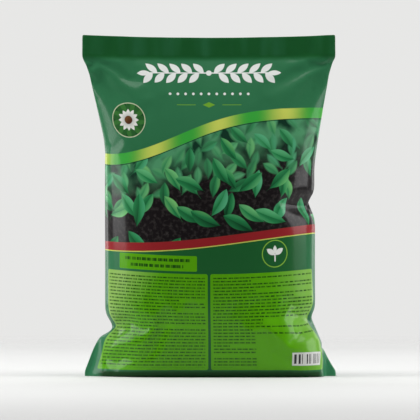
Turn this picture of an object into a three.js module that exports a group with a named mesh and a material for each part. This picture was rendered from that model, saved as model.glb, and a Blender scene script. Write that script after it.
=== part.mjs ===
// Compost bag: a sealed pillow pack of printed film, filled and standing on its own base.
// Millimetres, +Z up. The front panel faces -Y, with +X to the right of someone who looks at it.
// The origin lies on the floor, in the middle of the base.

import * as THREE from "three";
import { ParametricGeometry } from "three/addons/geometries/ParametricGeometry.js";
import { mergeGeometries, mergeVertices } from "three/addons/utils/BufferGeometryUtils.js";

const { clamp, lerp, smoothstep } = THREE.MathUtils;

// Film tube, as cut and welded
const tubeWidth = 430; // lay-flat width, side fold to side fold
const standHeight = 577; // floor to the corners of the top edge
const sealBand = 37; // height of the welded strip along the top edge
const weldThickness = 1.2; // both layers of film in the weld
const foldTaper = 14; // width over which the layers close up at a side fold
const edgeSag = 4; // how far the top edge dips between its corners
const topLean = -2; // sideways lean of the top edge
const baseLean = 1.5; // sideways shift of the base weld
const cornerFlare = 5; // how far the film spreads just below the corners of the weld
const cornerFlareDrop = 34; // depth below the weld where that flare begins

// Filled body
const bodyWidth = 355; // across the waist
const frontBulge = 83; // middle plane to the fullest point of the front
const backBulge = 79; // middle plane to the fullest point of the back
const bellyLevel = 165; // height of the fullest section
const baseDepth = 122; // front to back of the flat base
const shoulderPower = 2.25; // how late the front and the back close up towards the weld
const rowBow = 9; // how far the film's rows lift at the sides, low on the bag

// Section of the body: depth share = (1 - c^power)^round, where c runs from 0 in the middle to 1 at a fold
const bodySection = { power: 2.5, round: 0.56 };
const earSection = { power: 4.6, round: 1.9 };
const topSection = { power: 4.5, round: 0.88 };
const earSectionLevel = 96; // height where the thin corners of the base have gone
const topSectionDrop = 190; // depth below the weld where the body's round section begins to flatten

// The two sides, as the filled film pulls them in: levels are heights above the floor
const leftSide = {
  sign: -1,
  shoulderLevel: 382,
  hipLevel: 52,
  hipSwell: 2,
  hipSpread: 28,
  earLevel: 85,
  earCurve: 0.76,
};
const rightSide = {
  sign: 1,
  shoulderLevel: 344,
  hipLevel: 52,
  hipSwell: 10,
  hipSpread: 28,
  earLevel: 50,
  earCurve: 0.8,
};

// Tuck: the lower right corner stays full, and its ear is a thin flap that starts behind it
const tuck = {
  side: rightSide,
  halfWidth: 191, // middle line to the full corner
  share: 0.9, // part of the film across that stays in front of the flap
  corner: 5, // power of the corner's rounded section
  flapDepth: 4, // half the depth of the flap where it leaves the corner
  fullLevel: 55,
  noneLevel: 125,
};

// How gently a side turns into its shoulder or its ear, as a share of the turn's height
const softness = 0.16;

// Pinches: where the spare film of a side fold buckles inwards, with a groove that runs in from the notch
const pinches = [
  { side: leftSide, level: 86, notch: 11, spread: 15, run: 48, rise: 16, groove: 11 },
  { side: rightSide, level: 290, notch: 9, spread: 18, run: 44, rise: -14, groove: 9 },
  { side: rightSide, level: 98, notch: 4, spread: 14, run: 46, rise: -50, groove: 8 },
];

// How a groove comes and goes, in shares of its length
const grooveFade = { start: -0.1, full: 0.15, ebb: 0.35, end: 1.1 };

// Pulls: straight tension folds that leave a corner of the bag, inwards and towards its middle
const pullSpread = 13; // half width of each fold
const topPulls = [
  { run: 78, drop: 96, groove: 7 },
  { run: 130, drop: 60, groove: 2 },
];
const basePulls = [
  { run: 74, lift: 96, groove: 9 },
  { run: 128, lift: 34, groove: 6 },
];
const basePullHeight = 12; // height of the corner where the base pulls start

// Ripples of the welded strip and soft lumps of the fill
const ripples = [
  { depth: 2.2, length: 131, phase: 0.6 },
  { depth: 1.1, length: 58, phase: 2.1 },
];
const rippleDrop = 70; // depth below the weld where the ripples die out
const lump = { depth: 1.6, across: 97, up: 118 };

// Facets
const columns = 38;
const rows = 60;
const weldTolerance = 1e-3; // vertices closer than this are one

const sealLine = standHeight - sealBand;
const halfBase = baseDepth / 2;
const halfWaist = bodyWidth / 2;
const halfTube = tubeWidth / 2;
const halfWeld = weldThickness / 2;
const floorShare = halfBase / (halfBase + standHeight);

// From 0 at start to 1 at end, with a soft start that soon runs straight.
function softRamp(value, start, end) {
  const share = clamp((value - start) / (end - start), 0, 1);
  return (share * share * (1 + softness)) / (share + softness);
}

function hump(distance, spread) {
  return Math.exp(-((distance / spread) ** 2));
}

// Half width of the bag on one side, at height z.
function sideReach(side, z) {
  const corner = halfTube - halfWaist;
  const flare = cornerFlare * softRamp(z, sealLine - cornerFlareDrop, sealLine);
  const shoulder = (corner - cornerFlare) * softRamp(z, side.shoulderLevel, sealLine) + flare;
  const hip = side.hipSwell * hump(z - side.hipLevel, side.hipSpread);
  const ear = corner * softRamp(z, side.earLevel, 0) ** side.earCurve;
  let notch = 0;
  for (const pinch of pinches) {
    if (pinch.side === side) notch += pinch.notch * hump(z - pinch.level, pinch.spread);
  }
  return halfWaist + shoulder + hip + ear - notch;
}

// Depth of the front or the back in the middle of the bag, at height z.
function middleDepth(bulge, z) {
  if (z < bellyLevel) {
    const fall = 1 - z / bellyLevel;
    return lerp(halfBase, bulge, Math.sqrt(1 - fall ** 2));
  }
  const rise = Math.min((z - bellyLevel) / (sealLine - bellyLevel), 1);
  return bulge * (1 - rise ** shoulderPower);
}

// Share of the middle depth that is left at c, from 1 in the middle to 0 at a side fold.
function sectionShare(c, z) {
  const low = 1 - smoothstep(z, 0, earSectionLevel);
  const high = smoothstep(z, sealLine - topSectionDrop, sealLine);
  const mixed = (name) =>
    bodySection[name] +
    low * (earSection[name] - bodySection[name]) +
    high * (topSection[name] - bodySection[name]);
  return Math.max(1 - Math.abs(c) ** mixed("power"), 0) ** mixed("round");
}

// Place across and depth in the tucked corner, at c from 0 in the middle to 1 at the fold.
function tuckedPlace(c, reach, middle) {
  const width = Math.min(reach, tuck.halfWidth);
  const share = Math.sin((Math.min(c / tuck.share, 1) * Math.PI) / 2);
  const flap = clamp((c - tuck.share) / (1 - tuck.share), 0, 1);
  const wall = middle * Math.max(1 - share ** tuck.corner, 0) ** (1 / tuck.corner);
  const x = width * share + (reach - width) * flap;
  return { x, depth: Math.max(wall, tuck.flapDepth * Math.sqrt(1 - flap)) };
}

// Depth of a groove that runs from one point of the panel to another and fades towards its end.
function grooveDepth(x, z, from, to, depth, spread) {
  const way = to.clone().sub(from);
  const offset = new THREE.Vector2(x, z).sub(from);
  const along = offset.dot(way) / way.lengthSq();
  const across = offset.cross(way) / way.length();
  const come = smoothstep(along, grooveFade.start, grooveFade.full);
  const go = smoothstep(along, grooveFade.ebb, grooveFade.end);
  return depth * come * (1 - go) * hump(across, spread);
}

// All grooves that cross the point x, z of a panel.
function grooves(x, z) {
  let depth = 0;
  for (const { side, level, spread, run, rise, groove } of pinches) {
    const edge = sideReach(side, level);
    const from = new THREE.Vector2(side.sign * edge, level);
    const to = new THREE.Vector2(side.sign * (edge - run), level + rise);
    depth += grooveDepth(x, z, from, to, groove, spread);
  }
  for (const side of [leftSide, rightSide]) {
    for (const { run, drop, groove } of topPulls) {
      const from = new THREE.Vector2(side.sign * halfTube, sealLine);
      const to = new THREE.Vector2(side.sign * (halfTube - run), sealLine - drop);
      depth += grooveDepth(x, z, from, to, groove, pullSpread);
    }
    for (const { run, lift, groove } of basePulls) {
      const from = new THREE.Vector2(side.sign * halfTube, basePullHeight);
      const to = new THREE.Vector2(side.sign * (halfTube - run), basePullHeight + lift);
      depth += grooveDepth(x, z, from, to, groove, pullSpread);
    }
  }
  return depth;
}

// Sideways wave of both layers together, strongest in the welded strip.
function rippleShift(x, z) {
  const share = smoothstep(z, sealLine - rippleDrop, standHeight);
  let shift = 0;
  for (const { depth, length, phase } of ripples) {
    shift += depth * Math.sin((2 * Math.PI * x) / length + phase);
  }
  return share * shift;
}

// The point of a panel at c across (-1 left fold, 1 right fold), v along the film (0 base weld, 1 top edge).
function filmPoint(face, c, v, target) {
  const onFloor = Math.min(v / floorShare, 1);
  const height = standHeight * Math.max((v - floorShare) / (1 - floorShare), 0);
  const bowStart = smoothstep(height, 0, bellyLevel);
  const bowEnd = smoothstep(height, bellyLevel, sealLine);
  const bow = rowBow * bowStart * (1 - bowEnd);
  const sag = edgeSag * smoothstep(height, sealLine - sealBand, standHeight);
  const z = height + bow * c ** 2 - sag * (1 - c ** 2);
  const side = c < 0 ? leftSide : rightSide;
  const reach = sideReach(side, z);
  const topShift = topLean * smoothstep(z, bellyLevel, sealLine);
  const baseShift = baseLean * (1 - smoothstep(z, 0, bellyLevel));
  const middle = middleDepth(face.bulge, z);
  const corner = tuckedPlace(Math.abs(c), reach, middle);
  const tucked = side === tuck.side ? 1 - smoothstep(z, tuck.fullLevel, tuck.noneLevel) : 0;
  const x = lerp(reach * c, corner.x, tucked) + topShift + baseShift;
  const full = lerp(middle * sectionShare(c, z), corner.depth, tucked);
  const groove = face.grooved * grooves(x, z);
  const waves = Math.sin((2 * Math.PI * x) / lump.across) * Math.sin((2 * Math.PI * z) / lump.up);
  const pressed = full > 0 ? (full * full) / (full + groove) : 0;
  const lumpy = pressed + lump.depth * waves * sectionShare(c, z) * smoothstep(full, 0, face.bulge);
  const layer = halfWeld * Math.min((reach * (1 - Math.abs(c))) / foldTaper, 1);
  const depth = onFloor * (lumpy + layer);
  return target.set(x, face.sign * depth + rippleShift(x, z), z);
}

// Columns crowd towards the folds, where the section turns fastest.
function across(u) {
  return Math.sin((u - 0.5) * Math.PI);
}

const front = { sign: -1, bulge: frontBulge, grooved: 1 };
const back = { sign: 1, bulge: backBulge, grooved: 0.7 };

function frontPanel() {
  return new ParametricGeometry((u, v, point) => filmPoint(front, across(u), v, point), columns, rows);
}

function backPanel() {
  return new ParametricGeometry((u, v, point) => filmPoint(back, across(1 - u), v, point), columns, rows);
}

// The cut edge of the two layers along the top of the welded strip.
function topEdge() {
  const other = new THREE.Vector3();
  const strip = (u, v, point) => {
    filmPoint(back, across(u), 1, other);
    filmPoint(front, across(u), 1, point).lerp(other, v);
  };
  return new ParametricGeometry(strip, columns, 1);
}

// One closed shell: shared vertices merged, triangles that shrank to a line dropped.
function closedShell(pieces) {
  const joined = mergeGeometries(pieces);
  joined.deleteAttribute("normal");
  joined.deleteAttribute("uv");
  const shell = mergeVertices(joined, weldTolerance);
  const corners = shell.index.array;
  const kept = [];
  for (let i = 0; i < corners.length; i += 3) {
    const [a, b, c] = corners.subarray(i, i + 3);
    if (a !== b && b !== c && c !== a) kept.push(a, b, c);
  }
  shell.setIndex(kept);
  shell.computeVertexNormals();
  return shell;
}

const film = new THREE.MeshStandardMaterial({ color: 0x1f6b3a, roughness: 0.34, metalness: 0 });

const bag = new THREE.Mesh(closedShell([frontPanel(), backPanel(), topEdge()]), film);
bag.name = "compost_bag";

const part = new THREE.Group();
part.add(bag);

export default part;
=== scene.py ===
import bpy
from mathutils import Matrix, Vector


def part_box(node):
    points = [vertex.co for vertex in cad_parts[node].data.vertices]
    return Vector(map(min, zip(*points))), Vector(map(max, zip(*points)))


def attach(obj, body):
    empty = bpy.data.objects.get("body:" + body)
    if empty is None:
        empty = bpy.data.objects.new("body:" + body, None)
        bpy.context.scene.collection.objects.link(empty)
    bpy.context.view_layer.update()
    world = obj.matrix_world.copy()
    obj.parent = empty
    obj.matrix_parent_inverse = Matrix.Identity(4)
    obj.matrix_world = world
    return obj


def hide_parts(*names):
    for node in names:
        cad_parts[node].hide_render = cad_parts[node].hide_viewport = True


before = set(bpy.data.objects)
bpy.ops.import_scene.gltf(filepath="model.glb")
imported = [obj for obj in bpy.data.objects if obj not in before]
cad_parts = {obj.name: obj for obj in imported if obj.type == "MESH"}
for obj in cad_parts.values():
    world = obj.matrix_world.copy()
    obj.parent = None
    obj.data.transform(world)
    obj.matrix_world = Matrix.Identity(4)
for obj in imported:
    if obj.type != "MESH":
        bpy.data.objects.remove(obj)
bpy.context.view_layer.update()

import math

import bmesh
import bpy
import numpy as np
from mathutils import Vector

# film tube and filled body, in metres: the sizes of the solid, with a thinner weld and finer ripples
low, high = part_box("compost_bag")
bag = {
    "standHeight": high[2] - low[2],
    "tubeWidth": 0.430,
    "sealBand": 0.037,
    "weldThickness": 0.0008,
    "foldTaper": 0.014,
    "edgeSag": 0.004,
    "sealSag": (0.003, 0.009),      # drop of the weld's lower edge in the middle, and its rise to the folds
    "sealSagDrop": 0.08,
    "topLean": -0.002,
    "baseLean": 0.0015,
    "cornerFlare": 0.005,
    "cornerFlareDrop": 0.034,
    "bodyWidth": 0.355,
    "hipLevel": 0.052,
    "hipSpread": 0.028,
    "earTip": 0.008,
    "frontBulge": 0.083,
    "backBulge": 0.079,
    "bellyLevel": 0.165,
    "baseDepth": 0.122,
    "shoulderPower": 2.25,
    "rowBow": 0.009,
    "softness": 0.16,
    "bodySection": (2.5, 0.56),      # power and round of the section
    "earSection": (4.6, 1.9),
    "topSection": (4.5, 0.88),
    "earSectionLevel": 0.096,
    "topSectionDrop": 0.190,
    "rippleDrop": 0.070,
}
left = dict(sign=-1, shoulderLevel=0.382, hipSwell=0.002, earLevel=0.085, earCurve=0.76)
right = dict(sign=1, shoulderLevel=0.344, hipSwell=0.010, earLevel=0.050, earCurve=0.80)
pinches = [
    dict(side=left, level=0.086, notch=0.011, spread=0.015, run=0.048, rise=0.016, groove=0.011),
    dict(side=right, level=0.290, notch=0.009, spread=0.018, run=0.044, rise=-0.014, groove=0.009),
    dict(side=right, level=0.098, notch=0.004, spread=0.014, run=0.046, rise=-0.050, groove=0.008),
]
grooveStart, grooveEnd = (-0.1, 0.15), (0.35, 1.1)      # shares of a groove's run where it sets in and ends
pullSpread = 0.013
topPulls = [(0.078, 0.096, 0.007), (0.130, 0.060, 0.002)]      # run, drop, groove
basePulls = [(0.074, 0.096, 0.009), (0.128, 0.034, 0.006)]     # run, lift, groove
basePullHeight = 0.012
ripples = [(0.0020, 0.131, 0.6), (0.0011, 0.058, 2.1), (0.0006, 0.034, 0.9)]      # depth, length, phase
tuck = {      # lower right corner
    "width": 0.191,
    "share": 0.90,
    "corner": 5.0,
    "flap": 0.004,
    "level": (0.055, 0.125),
    "edge": 0.81,      # place across of the corner's outline, and of the outline above the tuck
    "plainEdge": 0.98,
    "print": 0.897,      # place of the outline on the film
    "printLevel": (0.11, 0.19),
}

sealLine = bag["standHeight"] - bag["sealBand"]
halfTube = bag["tubeWidth"] / 2
halfBase = bag["baseDepth"] / 2
tiny = 1e-9      # keeps a division from reaching zero


def smooth(value, start, end):
    share = np.clip((value - start) / (end - start), 0, 1)
    return share * share * (3 - 2 * share)


def softRamp(value, start, end):
    share = np.clip((value - start) / (end - start), 0, 1)
    return share * share * (1 + bag["softness"]) / (share + bag["softness"])


def hump(distance, spread):
    return np.exp(-(distance / spread) ** 2)


def sideReach(side, z):
    corner = halfTube - bag["bodyWidth"] / 2
    flare = bag["cornerFlare"] * softRamp(z, sealLine - bag["cornerFlareDrop"], sealLine)
    shoulder = (corner - bag["cornerFlare"]) * softRamp(z, side["shoulderLevel"], sealLine)
    reach = bag["bodyWidth"] / 2 + shoulder + flare
    reach = reach + side["hipSwell"] * hump(z - bag["hipLevel"], bag["hipSpread"])
    reach = reach + corner * softRamp(z, side["earLevel"], bag["earTip"]) ** side["earCurve"]
    for pinch in pinches:
        if pinch["side"] is side:
            reach = reach - pinch["notch"] * hump(z - pinch["level"], pinch["spread"])
    return reach


def middleDepth(bulge, z):
    fall = np.clip(1 - z / bag["bellyLevel"], 0, 1)
    lower = halfBase + (bulge - halfBase) * np.sqrt(1 - fall ** 2)
    rise = np.clip((z - bag["bellyLevel"]) / (sealLine - bag["bellyLevel"]), 0, 1)
    return np.where(z < bag["bellyLevel"], lower, bulge * (1 - rise ** bag["shoulderPower"]))


def sectionShare(c, z):
    lowPart = 1 - smooth(z, 0, bag["earSectionLevel"])
    highPart = smooth(z, sealLine - bag["topSectionDrop"], sealLine)
    mixed = [
        body + lowPart * (ear - body) + highPart * (top - body)
        for body, ear, top in zip(bag["bodySection"], bag["earSection"], bag["topSection"])
    ]
    return np.clip(1 - np.abs(c) ** mixed[0], 0, None) ** mixed[1]


def grooveDepth(x, z, start, end, depth, spread):
    wayX, wayZ = end[0] - start[0], end[1] - start[1]
    length = math.hypot(wayX, wayZ)
    along = ((x - start[0]) * wayX + (z - start[1]) * wayZ) / length ** 2
    across = ((x - start[0]) * wayZ - (z - start[1]) * wayX) / length
    return depth * smooth(along, *grooveStart) * (1 - smooth(along, *grooveEnd)) * hump(across, spread)


def grooves(x, z):
    depth = np.zeros_like(x)
    for pinch in pinches:
        sign, level = pinch["side"]["sign"], pinch["level"]
        edge = float(sideReach(pinch["side"], np.float64(level)))
        start, end = (sign * edge, level), (sign * (edge - pinch["run"]), level + pinch["rise"])
        depth = depth + grooveDepth(x, z, start, end, pinch["groove"], pinch["spread"])
    for sign in (-1, 1):
        for run, drop, groove in topPulls:
            start, end = (sign * halfTube, sealLine), (sign * (halfTube - run), sealLine - drop)
            depth = depth + grooveDepth(x, z, start, end, groove, pullSpread)
        for run, lift, groove in basePulls:
            start = (sign * halfTube, basePullHeight)
            end = (sign * (halfTube - run), basePullHeight + lift)
            depth = depth + grooveDepth(x, z, start, end, groove, pullSpread)
    return depth


def rippleShift(x, z):
    share = smooth(z, sealLine - bag["rippleDrop"], bag["standHeight"])
    return share * sum(depth * np.sin(2 * np.pi * x / length + phase) for depth, length, phase in ripples)


# the lower right corner stays full, and its ear is a thin flap that starts behind it
def tuckedPlace(c, reach, depth):
    width = np.minimum(reach, tuck["width"])
    share = np.sin(np.clip(c / tuck["share"], 0, 1) * np.pi / 2)
    flap = np.clip((c - tuck["share"]) / (1 - tuck["share"]), 0, 1)
    wall = depth * np.clip(1 - share ** tuck["corner"], 0, None) ** (1 / tuck["corner"])
    return width * share + (reach - width) * flap, np.maximum(wall, tuck["flap"] * np.sqrt(1 - flap))


def tuckedness(c, z):
    return np.where(c > 0, 1 - smooth(z, *tuck["level"]), 0)


# a point of the film, from its place c across, with the folds at -1 and 1, from its height,
# and from its share of the way out from the base weld
def filmPoint(sign, bulge, grooved, c, height, onFloor):
    belly = bag["bellyLevel"]
    bow = bag["rowBow"] * smooth(height, 0, belly) * (1 - smooth(height, belly, sealLine))
    sag = bag["edgeSag"] * smooth(height, sealLine - bag["sealBand"], bag["standHeight"])
    z = height + bow * c ** 2 - sag * (1 - c ** 2)
    reach = np.where(c < 0, sideReach(left, z), sideReach(right, z))
    drop, lift = bag["sealSag"]
    sagged = (drop - lift * c ** 2) * smooth(z, sealLine - bag["sealSagDrop"], sealLine)
    middle = middleDepth(bulge, z + sagged)
    tuckX, tuckDepth = tuckedPlace(np.clip(c, 0, 1), reach, middle)
    tucked = tuckedness(c, z)
    x = reach * c * (1 - tucked) + tuckX * tucked
    full = middle * sectionShare(c, z) * (1 - tucked) + tuckDepth * tucked
    x = x + bag["topLean"] * smooth(z, belly, sealLine) + bag["baseLean"] * (1 - smooth(z, 0, belly))
    pressed = full * full / np.maximum(full + grooved * grooves(x, z), tiny)
    layer = bag["weldThickness"] / 2 * np.minimum(reach * (1 - np.abs(c)) / bag["foldTaper"], 1)
    y = sign * onFloor * (pressed + layer) + rippleShift(x, z)
    return np.stack([x, y, z], axis=-1)


# film sheet: its grid, what holds it, where it is slack, and the cloth run
film = {
    "columns": 88,
    "rows": 134,
    "rowSamples": 2001,
    "columnSamples": 801,
    "merge": 1e-6,
    "backStart": 1.0,      # the back lies in the print's chart from here downwards
    "rearGroove": 0.7,
    "holdBody": 0.12,
    "holdBand": 0.25,
    "holdEar": 0.8,
    "baseLevel": 0.004,      # held fast below this
    "earLevel": 0.030,
    "earAcross": 0.86,
    "bandBlend": 0.01,
    "slackSide": -0.02,
    "slackMiddle": 0.0,
    "slackFold": (0.2, 0.5),      # weight at the fold, and place across where it sets in
    "slackCorner": (0.19, (0.035, 0.515), 0.075),      # reach, levels, spread
    "slackPinch": (0.165, 0.055),      # reach, spread
    "quality": 6,
    "mass": 0.3,
    "stiffness": 30,
    "shear": 15,
    "bending": 2.0,
    "damping": 10,
    "bendingDamping": 1,
    "airDamping": 2,
    "pressure": 0.6,
    "frames": 24,
    "cap": 0.009,
}


# heights of evenly spaced film rows, and places across of evenly spaced film columns
def rowHeights(rows):
    z = np.linspace(0, bag["standHeight"], film["rowSamples"])
    y = middleDepth(bag["frontBulge"], z)
    run = np.concatenate([[0], np.cumsum(np.hypot(np.diff(z), np.diff(y)))])
    upFilm = np.linspace(0, halfBase + run[-1], rows + 1)
    return upFilm, np.interp(upFilm - halfBase, run, z), np.clip(upFilm / halfBase, 0, 1)


def evenColumns(sign, bulge, height, onFloor, columns):
    c = np.sin(np.linspace(-np.pi / 2, np.pi / 2, film["columnSamples"]))
    points = filmPoint(sign, bulge, 0, c, np.full_like(c, height), onFloor)
    run = np.concatenate([[0], np.cumsum(np.linalg.norm(np.diff(points, axis=0), axis=1))])
    run = run - run[film["columnSamples"] // 2]
    edge = tuck["plainEdge"] + (tuck["edge"] - tuck["plainEdge"]) * tuckedness(1, height)
    corner = np.interp(run, [0, np.interp(edge, c, run), run[-1]], [0, tuck["print"], 1])
    pull = 1 - smooth(height, *tuck["printLevel"])      # low down the print's panel ends at the corner
    run = np.where(c < 0, run / -run[0], corner * pull + run / run[-1] * (1 - pull))
    return np.interp(np.linspace(-1, 1, columns + 1), run, c)


def holdWeight(across, height, onFloor):
    if onFloor < 1 or height < film["baseLevel"]:
        return 1.0
    if height < film["earLevel"] and across > film["earAcross"]:
        return film["holdEar"]
    weld = smooth(height, sealLine - film["bandBlend"], sealLine)
    return film["holdBody"] + (film["holdBand"] - film["holdBody"]) * weld


def slackWeight(across, place):
    share, start = film["slackFold"]
    weight = share * smooth(across, start, 1)
    reach, levels, spread = film["slackCorner"]
    spots = [(sign * reach, level, spread) for sign in (-1, 1) for level in levels]
    reach, spread = film["slackPinch"]
    spots += [(pinch["side"]["sign"] * reach, pinch["level"], spread) for pinch in pinches]
    for x, z, spread in spots:
        weight = weight + hump(math.hypot(place.x - x, place.z - z), spread)
    return min(weight, 1)


# bake's chart: low corner and size of the front, of the smaller back and of the cut edge
bakeChart = {
    "front": ((0.01, 0.02), (0.62, 0.94)),
    "back": ((0.65, 0.02), (0.34, 0.52)),
    "edge": ((0.65, 0.60), (0.34, 0.01)),
}


# places in the print's chart and in the bake's chart
def chartPlaces(side, s, t, length):
    (startX, startY), (sizeX, sizeY) = bakeChart[side]
    across, up = s / bag["tubeWidth"] + 0.5, t / length
    printed = {"front": (s, t), "back": (film["backStart"] - s, t), "edge": (s, length)}
    return printed[side], (startX + sizeX * across, startY + sizeY * up)


def makeFilm():
    bm = bmesh.new()
    columns, rows = film["columns"], film["rows"]
    filmRows, heights, floorShares = rowHeights(rows)
    length = filmRows[-1]
    charts = [bm.loops.layers.uv.new(name) for name in ("film", "OFBake")]
    groups = bm.verts.layers.deform.verify()
    flat, welded, topRow, rearFaces = {}, {}, [], []
    sides = [("front", -1, bag["frontBulge"], 1), ("back", 1, bag["backBulge"], film["rearGroove"])]
    for side, sign, bulge, grooved in sides:
        panel = bmesh.ops.create_grid(bm, x_segments=columns, y_segments=rows, size=0.5)["verts"]
        panelFaces = {face for vert in panel for face in vert.link_faces}
        for vert in panel:
            flat[vert] = vert.co.x * bag["tubeWidth"], (vert.co.y + 0.5) * length
        for face in panelFaces:
            for loop in face.loops:
                for chart, place in zip(charts, chartPlaces(side, *flat[loop.vert], length)):
                    loop[chart].uv = place
        places = []
        for height, onFloor in zip(heights, floorShares):
            c = evenColumns(sign, bulge, height, onFloor, columns)
            places.append(filmPoint(sign, bulge, grooved, c, np.full_like(c, height), onFloor))
        for vert in panel:
            column, row = round((vert.co.x + 0.5) * columns), round((vert.co.y + 0.5) * rows)
            vert.co = Vector(places[row][column])
            across = abs(2 * column / columns - 1)
            vert[groups][0] = float(holdWeight(across, heights[row], floorShares[row]))
            vert[groups][1] = float(1 - slackWeight(across, vert.co))
            if heights[row] > sealLine:
                welded.setdefault((column, row), []).append(vert)
        top = {vert for vert in panel if flat[vert][1] > length - film["merge"]}
        topRow += [edge for edge in bm.edges if top.issuperset(edge.verts)]
        rearFaces += panelFaces if side == "back" else []
    bmesh.ops.reverse_faces(bm, faces=rearFaces)
    for face in bmesh.ops.bridge_loops(bm, edges=topRow)["faces"]:      # cut edge along the top of the weld
        for loop in face.loops:
            s, rear = flat[loop.vert][0], loop.vert.co.y - rippleShift(loop.vert.co.x, loop.vert.co.z) > 0
            for chart, place in zip(charts, chartPlaces("edge", s, length * rear, length)):
                loop[chart].uv = place
    bmesh.ops.remove_doubles(bm, verts=bm.verts, dist=film["merge"])
    bmesh.ops.recalc_face_normals(bm, faces=bm.faces)
    openEdges = sum(edge.is_boundary for edge in bm.edges)
    print("film blank", bag["tubeWidth"], "by", round(length, 4), "open edges", openEdges)
    bm.verts.index_update()
    pairs = [pair for pair in welded.values() if all(vert.is_valid for vert in pair)]
    layers = [[vert.index for vert in pair] for pair in pairs]
    mesh = bpy.data.meshes.new("compostBag")
    bm.to_mesh(mesh)
    bm.free()
    mesh.shade_smooth()
    piece = bpy.data.objects.new("film_bag", mesh)
    bpy.context.scene.collection.objects.link(piece)
    return piece, layers


def relaxFilm(piece, layers):
    for name in ("hold", "taut"):
        piece.vertex_groups.new(name=name)
    start = np.empty(len(piece.data.vertices) * 3)
    piece.data.vertices.foreach_get("co", start)
    cloth = piece.modifiers.new("relax", "CLOTH")
    settings = cloth.settings
    settings.quality = film["quality"]
    settings.mass = film["mass"]
    settings.tension_stiffness = settings.compression_stiffness = film["stiffness"]
    settings.shear_stiffness = film["shear"]
    settings.bending_stiffness = film["bending"]
    settings.tension_damping = settings.compression_damping = film["damping"]
    settings.bending_damping = film["bendingDamping"]
    settings.air_damping = film["airDamping"]
    settings.use_pressure = True
    settings.uniform_pressure_force = film["pressure"]
    settings.vertex_group_mass = "hold"
    settings.pin_stiffness = 1
    settings.vertex_group_shrink = "taut"
    settings.shrink_min = film["slackSide"]
    settings.shrink_max = film["slackMiddle"]
    settings.effector_weights.gravity = 0
    cloth.collision_settings.use_collision = False
    cloth.point_cache.frame_start, cloth.point_cache.frame_end = 1, film["frames"]
    scene = bpy.context.scene
    for number in range(1, film["frames"] + 1):
        scene.frame_set(number)
    shaped = piece.evaluated_get(bpy.context.evaluated_depsgraph_get()).data
    end = np.empty_like(start)
    shaped.vertices.foreach_get("co", end)
    piece.modifiers.remove(cloth)
    scene.frame_set(1)
    start, end = start.reshape(-1, 3), end.reshape(-1, 3)
    size = np.linalg.norm(end - start, axis=1, keepdims=True)
    print("film moved", size.max(), "at most and", size.mean(), "on average")
    end = start + (end - start) * np.minimum(1, film["cap"] / np.maximum(size, tiny))
    front, rear = np.array(layers).T      # both layers of the weld move as one
    middle, half = (end[front] + end[rear]) / 2, (start[rear] - start[front]) / 2
    end[front], end[rear] = middle - half, middle + half
    piece.data.vertices.foreach_set("co", end.ravel())
    piece.data.update()
    piece.vertex_groups.clear()


bagPiece, weldLayers = makeFilm()
relaxFilm(bagPiece, weldLayers)


# film print: sizes in millimetres on the flat film, across from the middle and up from the base weld
perMetre = 1000
saltStep = 7.13      # sets the random draws of two salts apart
salts = {      # first salt of each random draw
    "wheelLeaves": 3,
    "wheelPetals": 9,
    "foliage": 20,
    "foliageStep": 7,
    "bannerRow": 3,
    "banner": 40,
    "shortRows": 50,
    "keptRows": 60,
    "dashes": 70,
    "dashesStep": 5,
    "stripes": 91,
}


class Field:      # a number or a colour that varies over the film
    def __init__(self, socket):
        self.socket = socket

    def __add__(self, other):
        return calc("ADD", self, other)

    def __radd__(self, other):
        return calc("ADD", other, self)

    def __sub__(self, other):
        return calc("SUBTRACT", self, other)

    def __rsub__(self, other):
        return calc("SUBTRACT", other, self)

    def __mul__(self, other):
        return calc("MULTIPLY", self, other)

    def __rmul__(self, other):
        return calc("MULTIPLY", other, self)

    def __truediv__(self, other):
        return calc("DIVIDE", self, other)

    def __abs__(self):
        return calc("ABSOLUTE", self)


def feed(slot, value):
    if isinstance(value, Field):
        ink.links.new(value.socket, slot)
    else:
        slot.default_value = value


# nodes are made after what they read, and a clamp is a node of its own: else the shader's stack fills up
def calc(kind, *values, clamp=False):
    step = ink.nodes.new("ShaderNodeMath")
    step.operation = kind
    for slot, value in zip(step.inputs, values):
        feed(slot, value)
    if clamp:
        limit = ink.nodes.new("ShaderNodeClamp")
        ink.links.new(step.outputs[0], limit.inputs["Value"])
        step = limit
    return Field(step.outputs[0])


def paint(under, over, mask):
    step = ink.nodes.new("ShaderNodeMix")
    step.data_type = "RGBA"
    feed(step.inputs[0], mask)
    for slot, value in ((step.inputs[6], under), (step.inputs[7], over)):
        feed(slot, value if isinstance(value, Field) else (*value, 1))
    return Field(step.outputs[2])


# a node group for one motif: it gets the colour below and the place on the film, and gives the colour above
def motif(draw, under, s, t, *options):
    global ink
    outer, ink = ink, bpy.data.node_groups.new(draw.__name__, "ShaderNodeTree")
    ink.interface.new_socket("under", in_out="INPUT", socket_type="NodeSocketColor")
    ink.interface.new_socket("across", in_out="INPUT", socket_type="NodeSocketFloat")
    ink.interface.new_socket("up", in_out="INPUT", socket_type="NodeSocketFloat")
    ink.interface.new_socket("colour", in_out="OUTPUT", socket_type="NodeSocketColor")
    start = ink.nodes.new("NodeGroupInput")
    drawn = draw(*[Field(slot) for slot in start.outputs[:3]], *options)
    end = ink.nodes.new("NodeGroupOutput")
    ink.links.new(drawn.socket, end.inputs[0])
    inner, ink = ink, outer
    step = ink.nodes.new("ShaderNodeGroup")
    step.node_tree = inner
    for slot, value in zip(step.inputs, (under, s, t)):
        feed(slot, value)
    return Field(step.outputs[0])


def filmChart():
    chart = ink.nodes.new("ShaderNodeUVMap")
    chart.uv_map = "film"
    return chart.outputs["UV"]


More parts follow.
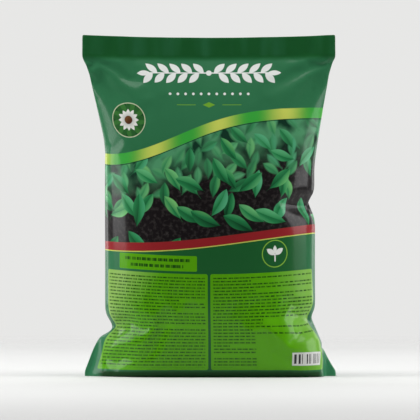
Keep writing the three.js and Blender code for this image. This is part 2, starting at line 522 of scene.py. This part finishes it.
def cloudy(size, detail=2.0, upright=1.0):      # soft noise with the given size of its patches
    chart = filmChart()
    scale = ink.nodes.new("ShaderNodeMapping")
    scale.inputs["Scale"].default_value = (perMetre / size, perMetre / size / upright, 1)
    ink.links.new(chart, scale.inputs["Vector"])
    noise = ink.nodes.new("ShaderNodeTexNoise")
    noise.noise_dimensions = "2D"
    noise.inputs["Scale"].default_value = 1
    noise.inputs["Detail"].default_value = detail
    ink.links.new(scale.outputs["Vector"], noise.inputs["Vector"])
    return Field(noise.outputs["Fac"])


def hashed(value, salt):      # an even share from 0 to 1 for each whole number
    seed = value + salt * saltStep
    noise = ink.nodes.new("ShaderNodeTexWhiteNoise")
    noise.noise_dimensions = "1D"
    feed(noise.inputs["W"], seed)
    return Field(noise.outputs["Value"])


def ramp(value, start, end):
    return calc("MULTIPLY_ADD", value, 1 / (end - start), -start / (end - start), clamp=True)


def inside(distance, soft=0.35):      # 1 where the distance is below zero, with a soft edge
    return ramp(distance, soft, -soft)


def both(one, other):
    return calc("MINIMUM", one, other)


def either(one, other):
    return calc("MAXIMUM", one, other)


def disc(s, t, place, radius):
    return calc("SQRT", calc("POWER", s - place[0], 2) + calc("POWER", t - place[1], 2)) - radius


def block(s, t, place, half, corner):
    overX, overY = abs(s - place[0]) - (half[0] - corner), abs(t - place[1]) - (half[1] - corner)
    outX, outY = either(overX, 0), either(overY, 0)
    return calc("SQRT", outX * outX + outY * outY) + both(either(overX, overY), 0) - corner


def leaf(s, t, root, angle, size):      # a lens-shaped leaf from its root
    alongX, alongY = math.cos(angle), math.sin(angle)
    along = (s - root[0]) * (alongX / size[0]) + (t - root[1]) * (alongY / size[0])
    off = (t - root[1]) * alongX - (s - root[0]) * alongY
    return abs(off) - along * (1 - along) * (4 * size[1])


# leaves in a wheel: distance to the nearest one, and the places along and off its middle line
def wheel(s, t, count, size, spread, salt):
    radius = calc("SQRT", s * s + t * t)
    angle = calc("ARCTAN2", t, s)
    number = calc("ROUND", angle * (count / (2 * math.pi)))
    turn = angle - number * (2 * math.pi / count)
    length = (hashed(number, salt) * spread + (1 - spread / 2)) * size[0]
    along = radius * calc("COSINE", turn) / length
    off = radius * calc("SINE", turn)
    return abs(off) - along * (1 - along) * (4 * size[1]), along, off


# picture field between two swung ribbons: loose leaves over dark compost, hazy towards the top
picture = {
    "upper": (470, 42, 8),      # level, sway, dip
    "lower": (300, 14, 0),
    "swayRun": 380,      # half a wave of the sway
    "soilGrain": (7, 4.0),      # size of the patches and detail
    "soilLit": (0.48, 0.82),
    "hazeGrain": (38, 1.5),
    "hazeLit": (0.36, 0.66),
    "hazeDepth": (0.55, 0.85),
    "soil": (0.0085, 0.0065, 0.0072),
    "soilLight": (0.040, 0.035, 0.033),
    "haze": (0.080, 0.300, 0.140),
    "hazeDark": (0.005, 0.034, 0.018),
    "leafDark": (0.004, 0.052, 0.018),
    "leafGreen": (0.022, 0.235, 0.074),
    "leafPale": (0.200, 0.560, 0.170),
    "leafTeal": (0.085, 0.430, 0.230),
}
foliage = [      # layers of leaves, from the far ones to the near ones
    dict(pitch=34, shift=(0.10, 0.35), leaf=(32, 6.2), soft=2.6, share=0.95, span=(0.52, 1.3), haze=0.55),
    dict(pitch=38, shift=(0.55, 0.10), leaf=(36, 7.4), soft=1.7, share=0.90, span=(0.50, 1.3), haze=0.32),
    dict(pitch=44, shift=(0.30, 0.60), leaf=(43, 8.8), soft=0.9, share=0.80, span=(0.36, 0.95), haze=0.10),
    dict(pitch=49, shift=(0.80, 0.25), leaf=(48, 9.6), soft=0.6, share=0.75, span=(0.24, 0.80), haze=0),
    dict(pitch=54, shift=(0.15, 0.80), leaf=(53, 10.6), soft=0.4, share=0.65, span=(0.10, 0.66), haze=0),
    dict(pitch=58, shift=(0.65, 0.45), leaf=(57, 11.6), soft=0.35, share=0.52, span=(-0.2, 0.50), haze=0),
]
leafForm = {      # spread and start of each random draw, as shares of the pitch or the length
    "tier": 0.6,
    "angle": (2.5, 0.32),
    "bend": 0.5,
    "root": 0.25,
    "width": 4.6,
    "columnStep": 31.7,
}
leafLight = {      # how much lighter each part of a leaf is
    "tip": 0.30,
    "lowHalf": 0.26,
    "margin": 0.34,
    "chance": 0.55,
    "rib": 0.14,
    "ribHalf": 0.35,
    "ground": 0.16,
    "green": (0, 0.5),      # light where a tone sets in and where it is full
    "pale": (0.42, 0.95),
}


def wave(s, curve):
    level, sway, dip = curve
    turn = math.pi / picture["swayRun"]
    shape = calc("SINE", s * turn) * sway + level
    return shape + calc("COSINE", s * (2 * turn)) * dip if dip else shape


def depthShare(s, t):      # 0 at the near edge of the picture, 1 at the far one
    upper, lower = wave(s, picture["upper"]), wave(s, picture["lower"])
    return (t - lower) / (upper - lower)


def paintLeaves(scene, s, t, layer, salt):
    pitch, (length, width) = layer["pitch"], layer["leaf"]
    place = s / pitch + layer["shift"][0]
    column = calc("FLOOR", place)
    x = (calc("FRACT", place) - 0.5) * pitch
    tier = t / pitch + hashed(column, salt) * leafForm["tier"] + layer["shift"][1]
    number = column * leafForm["columnStep"] + calc("FLOOR", tier)
    y = (calc("FRACT", tier) - 0.5) * pitch
    chance = hashed(number, salt + 3)
    middle = depthShare(s - x, t - y)
    there = calc("LESS_THAN", chance, layer["share"]) * calc("GREATER_THAN", middle, layer["span"][0])
    there = there * calc("LESS_THAN", middle, layer["span"][1])
    spread, least = leafForm["angle"]
    angle = hashed(number, salt + 1) * spread + least
    across, up = calc("COSINE", angle), calc("SINE", angle)
    along = (x * across + y * up) / length + 0.5
    bend = (hashed(number, salt + 2) - 0.5) * (leafForm["bend"] * length)
    off = y * across - x * up + calc("POWER", along - 0.5, 2) * bend
    shape = calc("POWER", along, leafForm["root"]) * along * (1 - along) * (leafForm["width"] * width)
    mask = inside(abs(off) - shape, layer["soft"]) * there
    light = along * leafLight["tip"] + inside(off, soft=1.2) * leafLight["lowHalf"]
    light = light + abs(off) * (leafLight["margin"] / width) + chance * leafLight["chance"]
    rib = inside(abs(off) - leafLight["ribHalf"], soft=0.4)
    light = light + rib * leafLight["rib"] - leafLight["ground"]
    tone = paint(picture["leafDark"], picture["leafGreen"], ramp(light, *leafLight["green"]))
    pale = paint(picture["leafPale"], picture["leafTeal"], hashed(number, salt + 4))
    tone = paint(tone, pale, ramp(light, *leafLight["pale"]))
    if layer["haze"]:
        tone = paint(tone, picture["haze"], layer["haze"])
    return paint(scene, tone, mask)


def paintPicture(colour, s, t):
    lit = ramp(cloudy(*picture["soilGrain"]), *picture["soilLit"])
    soil = paint(picture["soil"], picture["soilLight"], lit)
    lit = ramp(cloudy(*picture["hazeGrain"]), *picture["hazeLit"])
    far = paint(picture["hazeDark"], picture["haze"], lit)
    scene = paint(soil, far, ramp(depthShare(s, t), *picture["hazeDepth"]))
    for number, layer in enumerate(foliage):
        salt = salts["foliage"] + salts["foliageStep"] * number
        scene = motif(paintLeaves, scene, s, t, layer, salt)
    field = both(inside(wave(s, picture["lower"]) - t), inside(t - wave(s, picture["upper"])))
    return paint(colour, scene, field)


ribbons = {
    "gold": (0.58, 0.65, 0.11),
    "lime": (0.042, 0.38, 0.046),
    "red": (0.29, 0.017, 0.021),
    "shadow": (0.004, 0.040, 0.015),
    "upperWidth": 19,
    "lowerWidth": 15,
    "line": 1.6,
    "shine": (118, 0.6, 1.6),      # length, phase and power of the shine along the gold
    "edgeShade": (1.2, 0.7),      # drop and half width of the dark line below
}


def paintRibbons(colour, s, t):
    length, phase, power = ribbons["shine"]
    shine = calc("MULTIPLY_ADD", calc("SINE", s * (2 * math.pi / length) + phase), 0.5, 0.5)
    gold = paint(ribbons["lime"], ribbons["gold"], calc("POWER", shine, power))
    half = ribbons["upperWidth"] / 2
    rise = t - wave(s, picture["upper"])
    drop, shadeHalf = ribbons["edgeShade"]
    colour = paint(colour, ribbons["shadow"], inside(abs(rise + drop) - shadeHalf))
    colour = paint(colour, gold, inside(abs(rise - half) - half))
    half = ribbons["lowerWidth"] / 2
    fall = wave(s, picture["lower"]) - t
    colour = paint(colour, ribbons["red"], inside(abs(fall - half) - half))
    return paint(colour, ribbons["gold"], inside(abs(fall - 2 * half) - ribbons["line"] / 2))


# head of the front: a garland, a row of dots and a thin rule
head = {
    "white": (0.80, 0.82, 0.79),
    "lime": (0.16, 0.38, 0.03),
    "level": 588,
    "stem": 1.1,
    "reach": 104,
    "berry": 5,
    "pairs": 5,
    "first": 9,
    "pitch": 20.5,
    "stagger": 0.4,
    "lean": 0.80,
    "leaf": (26, 6.0),
    "tip": (24, 5.0),
    "tipOverlap": 1,
    "dotLevel": 549,
    "dot": 2.4,
    "dotPitch": 14,
    "dotReach": 77,
    "ruleLevel": 529,
    "ruleReach": (24, 58),
    "ruleHalf": 0.55,
    "diamond": (0.45, 5),      # slope and half height
}


def paintHead(colour, s, t):
    x, y = abs(s), t - head["level"]
    shape = inside(either(abs(y) - head["stem"], x - head["reach"]))
    shape = either(shape, inside(disc(x, y, (0, 0), head["berry"])))
    shape = either(shape, inside(leaf(x, y, (head["reach"] - head["tipOverlap"], 0), 0, head["tip"])))
    for number in range(head["pairs"]):
        root = head["first"] + number * head["pitch"]
        for shift, lean in ((0, head["lean"]), (head["pitch"] * head["stagger"], -head["lean"])):
            shape = either(shape, inside(leaf(x, y, (root + shift, 0), lean, head["leaf"])))
    colour = paint(colour, head["white"], shape)
    place = calc("WRAP", s, head["dotPitch"] / 2, -head["dotPitch"] / 2)
    dots = inside(disc(place, t, (0, head["dotLevel"]), head["dot"])) * inside(abs(s) - head["dotReach"])
    colour = paint(colour, head["white"], dots)
    near, far = head["ruleReach"]
    drop = abs(t - head["ruleLevel"])
    line = inside(drop - head["ruleHalf"]) * inside(abs(abs(s) - (near + far) / 2) - (far - near) / 2)
    slope, half = head["diamond"]
    return paint(colour, head["lime"], either(line, inside(abs(s) * slope + drop - half)))


medallion = {
    "place": (-148, 501),
    "radius": 31,
    "ring": 1.6,
    "leaves": (9, (46, 8.5), 0.3),      # count, size, spread of the lengths
    "petals": (12, (20, 4.2), 0.12),
    "heart": 7.5,
    "heartGrain": 2.4,
    "leafLit": (0.5, 0.3),      # share of one half of a leaf, and of both
    "petalLit": (0.12, 0.75),
    "leafDark": (0.012, 0.075, 0.020),
    "leafLight": (0.05, 0.20, 0.04),
    "white": (0.80, 0.80, 0.76),
    "grey": (0.42, 0.44, 0.40),
    "brown": (0.085, 0.028, 0.012),
    "brownLight": (0.22, 0.10, 0.03),
    "rim": (0.55, 0.60, 0.40),
}


def paintMedallion(colour, s, t):
    x, y = s - medallion["place"][0], t - medallion["place"][1]
    radius = calc("SQRT", x * x + y * y)
    leaves, off = wheel(x, y, *medallion["leaves"], salts["wheelLeaves"])[::2]
    oneHalf, whole = medallion["leafLit"]
    lit = inside(leaves, soft=0.6) * (inside(off, soft=0.8) * oneHalf + whole)
    tone = paint(medallion["leafDark"], medallion["leafLight"], lit)
    colour = paint(colour, tone, inside(radius - medallion["radius"]))
    petals, along = wheel(x, y, *medallion["petals"], salts["wheelPetals"])[:2]
    shade = paint(medallion["grey"], medallion["white"], ramp(along, *medallion["petalLit"]))
    colour = paint(colour, shade, inside(petals))
    lit = cloudy(medallion["heartGrain"]) * inside(x - y, soft=6)
    heart = paint(medallion["brown"], medallion["brownLight"], lit)
    colour = paint(colour, heart, inside(radius - medallion["heart"]))
    return paint(colour, medallion["rim"], inside(abs(radius - medallion["radius"]) - medallion["ring"] / 2))


badge = {
    "place": (112, 270),
    "radius": 22.5,
    "ring": 1.5,
    "leaf": (18, 4.6),
    "lean": 0.62,
    "bud": (14, 3.2),
    "leafRoot": (0, -2),
    "stalk": ((0, -7), (1.1, 6.5), 1),      # place, half size, corner
    "lime": (0.25, 0.50, 0.05),
    "white": (0.82, 0.84, 0.80),
}


def paintBadge(colour, s, t):
    x, y = s - badge["place"][0], t - badge["place"][1]
    rim = abs(disc(x, y, (0, 0), badge["radius"])) - badge["ring"] / 2
    colour = paint(colour, badge["lime"], inside(rim))
    sprout = leaf(abs(x), y, badge["leafRoot"], badge["lean"], badge["leaf"])
    sprout = both(sprout, leaf(x, y, (0, 0), math.pi / 2, badge["bud"]))
    sprout = both(sprout, block(x, y, *badge["stalk"]))
    return paint(colour, badge["white"], inside(sprout))


# lime panels with rows of broken dashes, a small banner, and a white patch with stripes
panels = {
    "level": (77, 239),
    "spans": ((-193, -4), (0.5, 192)),
    "corner": 3.5,
    "pitch": 5.4,
    "margin": 4.5,
    "rowHalf": 1.15,
    "keptRows": 0.95,      # share of the rows that are printed
    "shortRows": 0.24,      # share of the rows that end early
    "shortCut": (2.2, 0.18),
    "patchRow": 17.5,      # from this row on, the right panel's rows leave room for the patch
    "patchReach": 0.38,
    "dash": 9.5,
    "dashShift": 90,
    "dashFill": (0.22, 0.74),      # spread and least share of a dash that is filled
    "grain": (1.5, 0.55, 0.55),      # length, and spread and least share of the ink
    "inkShare": 0.95,
    "lime": (0.098, 0.380, 0.002),
    # painted light on the lime towards the folds
    "limePaintedLight": (0.30, 0.50, 0.12),
    "pale": (((80, 150), 0.65, 0.85), ((100, 175), 0.25, 0.55)),      # span, lean and share of the painted light in each panel
    "ink": (0.008, 0.060, 0.003),
    "banner": ((-92, 256), (70, 13), 2.5),      # place, half size, corner
    "bannerRows": ((5.2, 58), (-5.2, 47)),      # level, half length
    "bannerRow": 2.6,
    "patch": ((157, 96), (25.5, 11), 0.6),
    "quiet": 3.0,
    "stripe": 1.1,
    "bareStripes": 0.48,
    "white": (0.72, 0.72, 0.70),
    "dark": (0.03, 0.03, 0.035),
}


def dashes(s, index, salt):      # broken dashes along one row
    shifted = s + hashed(index, salt) * panels["dashShift"]
    place = shifted / panels["dash"]
    spread, least = panels["dashFill"]
    gap = calc("FRACT", place) - (hashed(calc("FLOOR", place), salt + 1) * spread + least)
    length, spread, least = panels["grain"]
    grain = hashed(calc("FLOOR", shifted / length), salt + 2) * spread + least
    return inside(gap * panels["dash"], soft=0.3) * grain


def paintBanner(colour, s, t):
    place, half, corner = panels["banner"]
    x, y = s - place[0], t - place[1]
    colour = paint(colour, panels["lime"], inside(block(x, y, (0, 0), half, corner)))
    for number, (level, reach) in enumerate(panels["bannerRows"]):
        row = inside(abs(y - level) - panels["bannerRow"]) * inside(abs(x) - reach)
        marks = dashes(x, salts["bannerRow"] + number, salts["banner"] + number)
        colour = paint(colour, panels["ink"], row * marks)
    return colour


def paintPanel(colour, s, t, number):
    (bottom, top), (start, end) = panels["level"], panels["spans"][number]
    place, half = ((start + end) / 2, (bottom + top) / 2), ((end - start) / 2, (top - bottom) / 2)
    span, lean, share = panels["pale"][number]      # painted light, paler towards the fold
    lime = paint(panels["lime"], panels["limePaintedLight"], ramp(abs(s) - (top - t) * lean, *span) * share)
    colour = paint(colour, lime, inside(block(s, t, place, half, panels["corner"])))
    margin = panels["margin"]
    row = (top - margin - t) / panels["pitch"]
    index = calc("FLOOR", row)
    chance = hashed(index, salts["shortRows"] + number)
    short = calc("LESS_THAN", chance, panels["shortRows"])
    spread, least = panels["shortCut"]
    reach = (1 - short * (chance * spread + least)) * (end - start - 2 * margin)
    if number == 1:      # right panel
        least = panels["patchReach"]
        whole = calc("LESS_THAN", index, panels["patchRow"])
        reach = reach * calc("MULTIPLY_ADD", whole, 1 - least, least)
    line = inside(abs(calc("FRACT", row) - 0.5) * panels["pitch"] - panels["rowHalf"])
    line = line * inside(s - (start + margin) - reach) * inside(start + margin - s)
    line = line * inside(t - (top - margin)) * inside(bottom + margin - t)
    line = line * calc("LESS_THAN", hashed(index, salts["keptRows"] + number), panels["keptRows"])
    line = line * dashes(s, index, salts["dashes"] + salts["dashesStep"] * number)
    return paint(colour, panels["ink"], line * panels["inkShare"])


def paintPatch(colour, s, t):
    place, half, corner = panels["patch"]
    x, y = s - place[0], t - place[1]
    colour = paint(colour, panels["white"], inside(block(x, y, (0, 0), half, corner)))
    stripe = hashed(calc("FLOOR", x / panels["stripe"]), salts["stripes"])
    stripe = calc("GREATER_THAN", stripe, panels["bareStripes"])
    quiet = both(half[0] - abs(x), half[1] - abs(y))
    return paint(colour, panels["dark"], stripe * inside(panels["quiet"] - quiet))


# printed film: dark green ground, painted shade along the base, painted light below the weld, towards the
# folds and on the lower corners, and a gloss that varies
filmFinish = {
    "green": (0.012, 0.107, 0.026),
    "paintedLight": (0.029, 0.166, 0.069),      # painted light: a lighter green below the weld and towards the folds
    "paintedLightHead": (621, 611, 480, 300),      # levels where it sets in, is full, fades and ends
    "paintedLightLeft": (-80, -170),
    "paintedLightRight": (140, 205),
    "ear": (0.040, 0.225, 0.100),      # painted light on the lower corners
    "earTop": 110,
    "earReach": (182, 206),
    # painted shade along the base, where the film curves under towards the floor
    "strip": (0.001, 0.046, 0.004),
    "stripLevel": 74,
    "stripReach": 186,
    "specular": 0.06,
    "coat": (0.36, 0.16),      # weight and roughness of the film's outer skin
    "roughness": (0.36, 0.48),
    "glossPatch": 46,
    "crinkle": (15, 3.0),
    "crinkleHeight": (1.1, 0.25),      # added towards the folds, and everywhere
    "loose": (120, 200),      # span where the crinkles grow
    "streak": (24, 1.0, 10),      # size, detail and length of the weld's streaks
    # painted light: lighter streaks along the weld
    "streakPaintedLight": ((0.35, 0.75), 0.5),
    "streakHeight": 1.6,
    "weld": 619,
    "bump": 0.6,
    "bumpDepth": 0.0006,
}


def printFilm():
    global ink
    material = bpy.data.materials.new("printedFilm")
    material.use_nodes = True
    ink = material.node_tree
    shader = ink.nodes["Principled BSDF"]
    shader.inputs["Specular IOR Level"].default_value = filmFinish["specular"]
    coatWeight, coatRoughness = filmFinish["coat"]
    shader.inputs["Coat Weight"].default_value = coatWeight
    shader.inputs["Coat Roughness"].default_value = coatRoughness
    split = ink.nodes.new("ShaderNodeSeparateXYZ")
    ink.links.new(filmChart(), split.inputs[0])
    u, t = Field(split.outputs[0]) * perMetre, Field(split.outputs[1]) * perMetre
    backStart = film["backStart"] * perMetre
    rear = calc("GREATER_THAN", u, backStart / 2)
    s = u + rear * (backStart - 2 * u)
    # painted shade along the base, between the lower corners
    strip = inside(t - filmFinish["stripLevel"], soft=2)
    strip = strip * inside(abs(s) - filmFinish["stripReach"], soft=8)
    # painted light: a lighter green below the weld, fading downwards, and towards the folds
    top, full, fade, end = filmFinish["paintedLightHead"]
    sides = either(ramp(s, *filmFinish["paintedLightLeft"]), ramp(s, *filmFinish["paintedLightRight"]))
    paintedLight = either(ramp(t, end, fade), sides) * ramp(t, top, full)
    streaks = cloudy(*filmFinish["streak"]) * inside(filmFinish["weld"] - t, soft=6)
    # painted light in lighter streaks along the weld
    span, share = filmFinish["streakPaintedLight"]
    paintedLight = paintedLight + ramp(streaks, *span) * share
    plain = paint(paint(filmFinish["green"], filmFinish["paintedLight"], paintedLight), filmFinish["strip"], strip)
    # painted light on the lower corners
    ear = inside(t - filmFinish["earTop"], soft=30) * ramp(abs(s), *filmFinish["earReach"])
    plain = paint(plain, filmFinish["ear"], ear)
    front = plain
    for draw in (paintPicture, paintHead, paintMedallion, paintBadge, paintBanner):
        front = motif(draw, front, s, t)
    for number in range(len(panels["spans"])):
        front = motif(paintPanel, front, s, t, number)
    front = motif(paintPatch, front, s, t)
    colour = motif(paintRibbons, paint(front, plain, rear), s, t)
    ink.links.new(colour.socket, shader.inputs["Base Color"])
    smoothest, roughest = filmFinish["roughness"]
    gloss = calc("MULTIPLY_ADD", cloudy(filmFinish["glossPatch"]), roughest - smoothest, smoothest)
    ink.links.new(gloss.socket, shader.inputs["Roughness"])
    loose = ramp(abs(s), *filmFinish["loose"])
    added, least = filmFinish["crinkleHeight"]
    crinkles = cloudy(*filmFinish["crinkle"]) * (loose * added + least)
    height = crinkles + streaks * filmFinish["streakHeight"]
    bump = ink.nodes.new("ShaderNodeBump")
    bump.inputs["Strength"].default_value = filmFinish["bump"]
    bump.inputs["Distance"].default_value = filmFinish["bumpDepth"]
    ink.links.new(height.socket, bump.inputs["Height"])
    ink.links.new(bump.outputs["Normal"], shader.inputs["Normal"])
    print("print drawn in", len(bpy.data.node_groups), "node groups")
    return material


bagPiece.data.materials.append(printFilm())
sub = bagPiece.modifiers.new("round", "SUBSURF")
sub.levels = sub.render_levels = 1
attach(bagPiece, "root")
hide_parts("compost_bag")

# a round pale floor that fades into the backdrop, so that every side of the bag can be seen
studio = {
    "floor": 2.5,
    "floorEdges": 96,
    "floorRoughness": 0.8,
    "fade": (0.9, 2.4),
    "paint": (0.72, 0.72, 0.71, 1),
    "backdrop": (0.80, 0.80, 0.79, 1),
    "ambient": (0.9, 0.95, 1, 1),
    "ambientStrength": 0.05,
}


def makeFloor():
    bm = bmesh.new()
    bmesh.ops.create_circle(bm, cap_ends=True, segments=studio["floorEdges"], radius=studio["floor"])
    mesh = bpy.data.meshes.new("floor")
    bm.to_mesh(mesh)
    bm.free()
    floor = bpy.data.objects.new("floor", mesh)
    bpy.context.scene.collection.objects.link(floor)
    finish = bpy.data.materials.new("floorPaint")
    finish.use_nodes = True
    nodes, links = finish.node_tree.nodes, finish.node_tree.links
    shader = nodes["Principled BSDF"]
    shader.inputs["Base Color"].default_value = studio["paint"]
    shader.inputs["Roughness"].default_value = studio["floorRoughness"]
    place = nodes.new("ShaderNodeTexCoord")
    reach = nodes.new("ShaderNodeVectorMath")
    reach.operation = "LENGTH"
    links.new(place.outputs["Object"], reach.inputs[0])
    fade = nodes.new("ShaderNodeMapRange")
    fade.interpolation_type = "SMOOTHSTEP"
    near, far = studio["fade"]
    fade.inputs["From Min"].default_value = far
    fade.inputs["From Max"].default_value = near
    links.new(reach.outputs["Value"], fade.inputs["Value"])
    links.new(fade.outputs["Result"], shader.inputs["Alpha"])
    mesh.materials.append(finish)
    return floor


makeFloor()

camera = {"distance": 7.0, "height": 0.281, "frameWidth": 0.711, "sensor": 36, "clipEnd": 50}


def makeCamera():
    data = bpy.data.cameras.new("camera")
    data.sensor_width = camera["sensor"]
    data.lens = camera["sensor"] * camera["distance"] / camera["frameWidth"]
    data.clip_end = camera["clipEnd"]
    obj = bpy.data.objects.new("camera", data)
    obj.location = (0, -camera["distance"], camera["height"])
    obj.rotation_euler = (math.pi / 2, 0, 0)
    bpy.context.scene.collection.objects.link(obj)
    bpy.context.scene.camera = obj


makeCamera()
bpy.context.scene.view_settings.view_transform = "Standard"

lights = [
    dict(name="overhead", place=(0, -0.45, 2.6), aim=(0, 0, 0.4), size=(3.0, 1.2), watts=45),
    dict(name="leftSoftbox", place=(-2.2, -0.3, 1.1), aim=(0, 0, 0.3), size=(1.4, 1.8), watts=40),
    dict(name="rightSoftbox", place=(2.2, -0.3, 1.1), aim=(0, 0, 0.3), size=(1.4, 1.8), watts=35),
    dict(name="leftRim", place=(-1.9, 1.6, 0.8), aim=(0, 0, 0.3), size=(0.6, 1.6), watts=11),
    dict(name="rightRim", place=(1.9, 1.6, 0.8), aim=(0, 0, 0.3), size=(0.6, 1.6), watts=10),
    dict(name="backPanel", place=(0, 3.4, 0.9), aim=(0, 0, 0.6), size=(6.0, 1.8), watts=30),
    dict(name="backTop", place=(0, 2.7, 3.4), aim=(0, 1.8, 0), size=(5.0, 1.4), watts=50),
]


def makeLights():
    for light in lights:
        data = bpy.data.lights.new(light["name"], "AREA")
        data.shape = "RECTANGLE"
        data.size, data.size_y = light["size"]
        data.energy = light["watts"]
        obj = bpy.data.objects.new(light["name"], data)
        obj.location = light["place"]
        way = Vector(light["aim"]) - Vector(light["place"])
        obj.rotation_euler = way.to_track_quat("-Z", "Y").to_euler()
        bpy.context.scene.collection.objects.link(obj)
    world = bpy.data.worlds.new("studio")
    world.use_nodes = True
    nodes, links = world.node_tree.nodes, world.node_tree.links
    ambient = nodes["Background"]
    ambient.inputs["Color"].default_value = studio["ambient"]
    ambient.inputs["Strength"].default_value = studio["ambientStrength"]
    backdrop = nodes.new("ShaderNodeBackground")
    backdrop.inputs["Color"].default_value = studio["backdrop"]
    ray = nodes.new("ShaderNodeLightPath")
    seen = nodes.new("ShaderNodeMixShader")
    links.new(ray.outputs["Is Camera Ray"], seen.inputs[0])
    links.new(ambient.outputs[0], seen.inputs[1])
    links.new(backdrop.outputs[0], seen.inputs[2])
    links.new(seen.outputs[0], nodes["World Output"].inputs["Surface"])
    bpy.context.scene.world = world


makeLights()
print("studio set with", len(lights), "lights")
